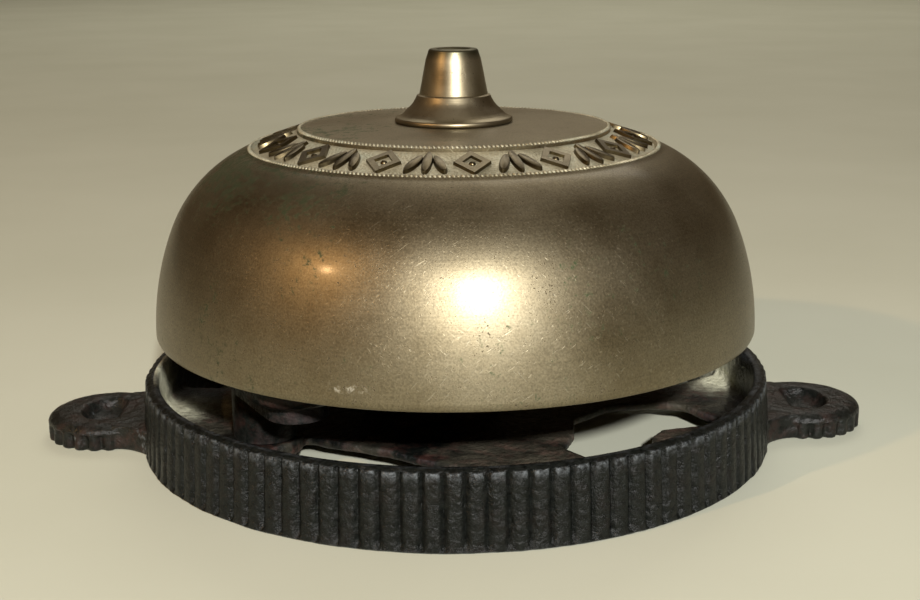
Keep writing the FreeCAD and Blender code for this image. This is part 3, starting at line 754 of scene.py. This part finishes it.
worn = math_node(iron, "MULTIPLY", math_node(iron, "MULTIPLY", high, worn_spots), off_table)
rib_tip = value_between(iron, spot.outputs["Z"], 0.0130, 0.0144, 0.0, 0.75)
below_rim = value_between(iron, spot.outputs["Z"], 0.01465, 0.0149, 1.0, 0.0)
tip_high = value_between(iron, surface.outputs["Pointiness"], 0.505, 0.55, 0.0, 1.0)
tip_spots = value_between(iron, sand.outputs["Fac"], 0.44, 0.57, 0.1, 1.0)
for factor in (below_rim, tip_high, tip_spots):
    rib_tip = math_node(iron, "MULTIPLY", rib_tip, factor)
worn = math_node(iron, "MAXIMUM", worn, rib_tip)
worn = math_node(iron, "MULTIPLY", worn, iron_in.outputs["Wear"])
bare = blend_color(iron, worn, rusted, (0.24, 0.265, 0.285))
dust_and_lit_patch_level = value_between(iron, broad.outputs["Fac"], 0.42, 0.66, 0.0, 1.0)
dust_and_lit_patch_level = math_node(iron, "MULTIPLY", dust_and_lit_patch_level, iron_in.outputs["Dust"])
facing = add_node(iron, "ShaderNodeVectorMath", operation="DOT_PRODUCT")
iron.links.new(place.outputs["Object"], facing.inputs[0])
iron.links.new(surface.outputs["Normal"], facing.inputs[1])
inward = value_between(iron, facing.outputs["Value"], 0.010, 0.015, 1.0, 0.0)
inward = math_node(iron, "MULTIPLY", inward, iron_in.outputs["Patches"])
ragged_edge = math_node(iron, "MULTIPLY", spots.outputs["Fac"], 0.012)
# Two pale pools on the inner wall are painted light: lamp light falling in under the gong's lip, painted as
# pale colour.
patches = []
for patch_place in ((0.0605, 0.0150, 0.0040), (-0.0635, -0.0020, 0.0090)):
    away = add_node(iron, "ShaderNodeVectorMath", operation="DISTANCE")
    iron.links.new(place.outputs["Object"], away.inputs[0])
    away.inputs[1].default_value = patch_place
    ragged = math_node(iron, "ADD", away.outputs["Value"], ragged_edge)
    patch = value_between(iron, ragged, 0.010, 0.021, 0.9, 0.0)
    patches.append(math_node(iron, "MULTIPLY", patch, inward))
painted_light_patches = math_node(iron, "MAXIMUM", *patches)
# The painted light is mixed in with the dust and shares its roughness.
dust_and_lit_patch_level = math_node(iron, "MAXIMUM", dust_and_lit_patch_level, painted_light_patches)
dust_and_lit_patch_color = blend_color(iron, painted_light_patches, (0.15, 0.132, 0.095), (0.75, 0.74, 0.55))
dusted_and_lit = blend_color(iron, dust_and_lit_patch_level, bare, dust_and_lit_patch_color)
iron.links.new(dusted_and_lit, iron_out.inputs["Color"])
rough = value_between(iron, sand.outputs["Fac"], 0.3, 0.7, 0.24, 0.42)
rough = math_node(iron, "ADD", rough, math_node(iron, "MULTIPLY", rust_level, 0.25))
rough = math_node(iron, "ADD", rough, math_node(iron, "MULTIPLY", dust_and_lit_patch_level, 0.3))
iron.links.new(rough, iron_out.inputs["Roughness"])
iron.links.new(worn, iron_out.inputs["Metallic"])
wrinkles = laid_pattern(iron, place, "ShaderNodeTexNoise", Scale=640.0, Detail=2.0, Distortion=1.1)
lumps = math_node(iron, "MULTIPLY", blisters.outputs["Distance"], -0.6)
wrinkle_share = value_between(iron, broad.outputs["Fac"], 0.46, 0.60, 0.15, 1.2)
wrinkled = math_node(iron, "MULTIPLY", wrinkles.outputs["Fac"], wrinkle_share)
lumps = math_node(iron, "ADD", lumps, wrinkled)
lumps = math_node(iron, "ADD", lumps, math_node(iron, "MULTIPLY", sand.outputs["Fac"], 0.8))
lumps = math_node(iron, "ADD", lumps, math_node(iron, "MULTIPLY", spots.outputs["Fac"], 1.2))
iron.links.new(lumps, iron_out.inputs["Height"])


def iron_finish(name, bump_depth, shine, **values):
    """Material of one iron piece from the casting group."""
    material, tree, principled = new_material(name)
    principled.inputs["Specular IOR Level"].default_value = shine
    cast = place_group(tree, iron, **values)
    tree.links.new(cast.outputs["Color"], principled.inputs["Base Color"])
    tree.links.new(cast.outputs["Roughness"], principled.inputs["Roughness"])
    tree.links.new(cast.outputs["Metallic"], principled.inputs["Metallic"])
    tree.links.new(bump(tree, cast.outputs["Height"], 0.8, bump_depth), principled.inputs["Normal"])
    return material


# The ring's inner wall carries the painted pools of lamp light from the casting group.
ring_iron = iron_finish("black_ribbed_iron", 0.00045, 0.18, Rust=0.05, Wear=0.60, Dust=0.0, Patches=1.0)
ring.data.materials.append(ring_iron)
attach(ring, "bell_base")
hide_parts("base_casting")


# ------------------------------------------------------------------ screw ears
# Two ears cast on the ring, flat behind, each with a scalloped edge, a rounded rim and a dished oval
# recess down to the screw hole. A flared neck runs into the ring.
ear_centre = 0.0762
ear_radius = 0.0128
ear_height = 0.0056
ear_hole = 0.0026
ear_lobes = 23
ear_steps = 8
lobe_shape = [1.0, 0.62, 0.26, 0.06, 0.0, 0.06, 0.26, 0.62]
lobe_depth = 0.0011
neck_middle = 0.0685
neck_length = 0.0090
neck_width = 0.0236
neck_flare = 0.38
neck_flare_start = 0.0730
neck_flare_run = 0.0080
neck_flare_curve = 2.2
lobe_foot_radius = 0.0123
lobe_top = ear_height - 0.0021
dish_floor = 0.0022
dish_narrowing = 0.14
dish_widening = 0.10
ear_profile = [
    (ear_hole, 0.0), (ear_hole, 0.0016), (ear_hole + 0.0004, 0.0021), (0.0041, 0.0026),
    (0.0051, 0.0033), (0.0058, 0.0042), (0.0063, 0.0051), (0.0068, ear_height - 0.0001),
    (0.0077, ear_height), (0.0104, ear_height), (0.0117, ear_height - 0.0004),
    (0.0125, ear_height - 0.0011), (0.0128, ear_height - 0.0019), (ear_radius, ear_height - 0.0023),
    (ear_radius, 0.0016), (ear_radius, 0.0004), (ear_radius - 0.0004, 0.0),
]


def roughen(piece, above, coarse, coarse_depth, fine, fine_depth):
    """Move the vertices above a height along their normals by two smooth random fields."""
    normals = [vertex.normal.copy() for vertex in piece.data.vertices]
    for vertex, normal in zip(piece.data.vertices, normals):
        if vertex.co.z > above:
            rise = coarse_depth * noise.noise(vertex.co * coarse)
            rise += fine_depth * noise.noise(vertex.co * fine)
            vertex.co += normal * rise


def melt_together(piece, voxel, calm_steps):
    """Give a piece one closed skin, with its inner edges soft as from the mould."""
    skin = piece.modifiers.new("skin", "REMESH")
    skin.mode = "VOXEL"
    skin.voxel_size = voxel
    calm = piece.modifiers.new("calm", "SMOOTH")
    calm.factor = 0.5
    calm.iterations = calm_steps
    apply_all(piece)


def shape_ear(side):
    """One ear with its neck, on the right (1) or the left (-1)."""
    plate = turn_profile("ear_plate", ear_profile, ear_lobes * ear_steps)
    for vertex in plate.data.vertices:
        radius = math.hypot(vertex.co.x, vertex.co.y)
        if radius > lobe_foot_radius and vertex.co.z < lobe_top:
            cut = lobe_shape[step_of(vertex, ear_lobes, ear_steps)]
            vertex.co.x *= 1 - cut * lobe_depth / radius
            vertex.co.y *= 1 - cut * lobe_depth / radius
        elif 0.0030 < radius < 0.0100 and vertex.co.z > dish_floor:
            share = min(1, (radius - 0.0028) / 0.0020) * min(1, (0.0105 - radius) / 0.0030)
            vertex.co.x *= 1 - dish_narrowing * share
            vertex.co.y *= 1 + dish_widening * share
    plate.data.transform(Matrix.Translation((ear_centre, 0, 0)))
    deselect()
    bpy.ops.mesh.primitive_cube_add(size=1, location=(neck_middle, 0, ear_height / 2 - 0.0001))
    neck = bpy.context.object
    bpy.ops.object.mode_set(mode="EDIT")
    bpy.ops.mesh.select_all(action="SELECT")
    bpy.ops.transform.resize(
        value=(neck_length, neck_width, ear_height - 0.0004),
        center_override=(neck_middle, 0, ear_height / 2),
    )
    bpy.ops.mesh.subdivide(number_cuts=9)
    bpy.ops.object.mode_set(mode="OBJECT")
    bpy.ops.object.transform_apply(location=True, rotation=True, scale=True)
    for vertex in neck.data.vertices:
        near = max(0.0, min(1.0, (neck_flare_start - vertex.co.x) / neck_flare_run))
        vertex.co.y *= 1 + neck_flare * near ** neck_flare_curve
    edge_round = neck.modifiers.new("edge", "BEVEL")
    edge_round.width = 0.0009
    edge_round.segments = 3
    apply_all(neck)
    ear = join([plate, neck], f"ear_{'right' if side > 0 else 'left'}")
    melt_together(ear, voxel=0.00027, calm_steps=2)
    roughen(ear, above=0.0003, coarse=150, coarse_depth=0.00014, fine=520, fine_depth=0.00008)
    if side < 0:
        ear.data.transform(Matrix.Rotation(math.pi, 4, "Z"))
    take(ear)
    bpy.ops.object.shade_smooth()
    return ear


ear_iron = iron_finish("worn_ear_iron", 0.00035, 0.26, Rust=0.32, Wear=0.9, Dust=0.04)
for side in (1, -1):
    ear = shape_ear(side)
    ear.data.materials.clear()
    ear.data.materials.append(ear_iron)
    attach(ear, "bell_base")
    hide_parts("base_casting")


# ------------------------------------------------------------------ web
# The thin open web inside the ring, cast with it: arms, a hooked lug and the bosses and pillars
# that carry the works. Its edges are soft from the mould, and old dirt lies on it.
web_half_width = 0.0655
web_edge = 0.0653
wall_outside = 0.0648
ear_start = 0.066
wall_inside = (0.0634, 0.0640)
wall_middle = 0.0645
wall_top = 0.0146
floor_top = 0.0100
deselect()
web = copy_of(cad["base_casting"], "base_web")
web.parent = None
for key in list(web.keys()):
    del web[key]
web.hide_render = False
web.hide_viewport = False
outward(web)

# The casting's own wall is drawn inside the ribbed ring, and its two ears are cut away.
for vertex in web.data.vertices:
    radius = math.hypot(vertex.co.x, vertex.co.y)
    if radius > wall_outside and abs(vertex.co.x) < ear_start:
        vertex.co.x *= web_edge / radius
        vertex.co.y *= web_edge / radius
    elif wall_inside[0] < radius < wall_inside[1] and vertex.co.z > floor_top:
        vertex.co.x *= wall_middle / radius
        vertex.co.y *= wall_middle / radius
        vertex.co.z = min(vertex.co.z, wall_top)
for direction in (1, -1):
    take(web)
    bpy.ops.object.mode_set(mode="EDIT")
    bpy.ops.mesh.select_all(action="SELECT")
    bpy.ops.mesh.bisect(
        plane_co=(direction * web_half_width, 0, 0), plane_no=(direction, 0, 0),
        clear_outer=True, use_fill=True,
    )
    bpy.ops.object.mode_set(mode="OBJECT")
melt_together(web, voxel=0.00062, calm_steps=4)
roughen(web, above=0.0004, coarse=120, coarse_depth=0.00022, fine=380, fine_depth=0.00014)
take(web)
bpy.ops.object.shade_smooth()
# The web carries the painted pools of lamp light too, on top of its dust.
web_iron = iron_finish("dusty_web_iron", 0.00045, 0.14, Rust=0.95, Wear=0.35, Dust=0.50, Patches=1.0)
web.data.materials.clear()
web.data.materials.append(web_iron)
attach(web, "bell_base")
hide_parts("base_casting")


# ------------------------------------------------------------------ works
# The hidden works: steel post and nut, iron hammer and crank, brass bush and washers, a steel
# bridge on two screws, a coil spring and leather seat and stop. All are dull with age.
def metal_finish(name, dark_color, light_color, low_rough, high_rough):
    """Material of one plain metal piece, tarnished by the shared ageing."""
    material, tree, principled = new_material(name)
    principled.inputs["Metallic"].default_value = 1.0
    marks = place_group(tree, age, Cloud_Scale=150.0, Pit_Scale=1200.0, Scratch_Scale=700.0)
    tone = ramp(tree, marks.outputs["Cloud"], [(0.32, dark_color), (0.7, light_color)])
    pit_dirt = math_node(tree, "MULTIPLY", marks.outputs["Pits"], 0.7)
    tone = blend_color(tree, pit_dirt, tone, (0.03, 0.022, 0.015))
    tree.links.new(tone, principled.inputs["Base Color"])
    rough = value_between(tree, marks.outputs["Cloud"], 0.3, 0.7, low_rough, high_rough)
    tree.links.new(rough, principled.inputs["Roughness"])
    relief = math_node(tree, "MULTIPLY", marks.outputs["Pits"], -1.5)
    relief = math_node(tree, "ADD", marks.outputs["Grain"], relief)
    tree.links.new(bump(tree, relief, 0.4, 0.00006), principled.inputs["Normal"])
    return material


old_steel = metal_finish("old_steel", (0.12, 0.105, 0.09), (0.30, 0.28, 0.26), 0.32, 0.5)
spring_steel = metal_finish("oiled_spring_steel", (0.06, 0.06, 0.065), (0.17, 0.17, 0.18), 0.25, 0.38)
old_brass = metal_finish("old_brass", (0.26, 0.19, 0.09), (0.46, 0.36, 0.20), 0.3, 0.45)
works_iron = iron_finish("works_iron", 0.00025, 0.10, Rust=0.35, Wear=0.05, Dust=0.0)

leather, tree, shader = new_material("hard_leather")
where = add_node(tree, "ShaderNodeTexCoord")
hide = laid_pattern(tree, where, "ShaderNodeTexVoronoi", Scale=1300.0)
shade = laid_pattern(tree, where, "ShaderNodeTexNoise", Scale=300.0, Detail=5.0)
tan = ramp(tree, shade.outputs["Fac"], [(0.3, (0.05, 0.026, 0.013)), (0.7, (0.14, 0.075, 0.038))])
tree.links.new(tan, shader.inputs["Base Color"])
tree.links.new(value_between(tree, shade.outputs["Fac"], 0.3, 0.7, 0.55, 0.8), shader.inputs["Roughness"])
tree.links.new(bump(tree, hide.outputs["Distance"], 0.6, 0.0002), shader.inputs["Normal"])

finishes = {
    "gong_post": old_steel, "post_lock_nut": old_steel, "gong_seat_washer": leather,
    "hammer_screw": old_steel, "hammer_washer": old_brass, "hammer_arm": works_iron,
    "hammer_head": works_iron, "spindle_bush": old_brass, "thrust_washer": old_brass,
    "drive_crank": works_iron, "drive_pin": old_steel, "bridge_plate": old_steel,
    "bridge_screws": old_steel, "centring_spring": spring_steel, "spring_anchor_pin": old_steel,
    "stop_stud": old_steel, "stop_sleeve": leather,
}
for name, finish in finishes.items():
    cad[name].data.materials.clear()
    cad[name].data.materials.append(finish)


# ------------------------------------------------------------------ table and light
# A plain pale table top in a dim warm room. A small bright lamp shines beside the viewer and a small
# warm one at the left, a soft panel hangs overhead, and two more light the far side.
deselect()
bpy.ops.mesh.primitive_plane_add(size=6, location=(0, 1.2, 0))
table = bpy.context.object
table.name = "table_top"
bpy.ops.object.transform_apply(location=True, rotation=True, scale=True)
table_paint, tree, shader = new_material("pale_table")
where = add_node(tree, "ShaderNodeTexCoord")
mottle = laid_pattern(tree, where, "ShaderNodeTexNoise", Scale=9.0, Detail=4.0)
paint = ramp(tree, mottle.outputs["Fac"], [
    (0.3, (0.56, 0.575, 0.46)), (0.7, (0.60, 0.615, 0.50)),
])
tree.links.new(paint, shader.inputs["Base Color"])
shader.inputs["Roughness"].default_value = 0.70
shader.inputs["Specular IOR Level"].default_value = 0.25
table.data.materials.append(table_paint)
table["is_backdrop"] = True

world = bpy.data.worlds.new("soft_room")
world.use_nodes = True
room_light = world.node_tree.nodes["Background"]
room_light.inputs["Color"].default_value = (1.0, 0.58, 0.23, 1)
room_light.inputs["Strength"].default_value = 0.052
bpy.context.scene.world = world
bpy.context.scene.view_settings.view_transform = "Standard"


def area_light(name, place, target, size, power, color):
    """Square lamp aimed at a point."""
    data = bpy.data.lights.new(name, "AREA")
    data.size = size
    data.energy = power
    data.color = color
    lamp = bpy.data.objects.new(name, data)
    lamp.location = place
    lamp.rotation_euler = (Vector(target) - Vector(place)).to_track_quat("-Z", "Y").to_euler()
    bpy.context.scene.collection.objects.link(lamp)


area_light("viewer_lamp", (0.112, -0.866, 0.460), (0, 0, 0.03), 0.05, 13.4, (1.0, 0.98, 0.95))
area_light("warm_lamp", (-0.97, -0.67, 0.77), (0, 0, 0.03), 0.035, 4.6, (1.0, 0.60, 0.27))
area_light("ceiling_panel", (0.1, 0.3, 1.1), (0, 0, 0), 0.8, 0.7, (1.0, 0.93, 0.80))
area_light("back_panel", (0.0, 2.4, 0.80), (0, 0, 0.05), 1.2, 0.26, (1.0, 0.80, 0.52))
area_light("far_lamp", (0.2, 1.7, 1.5), (0, 1.9, 0), 1.5, 16.0, (1.0, 0.95, 0.84))

low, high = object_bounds()
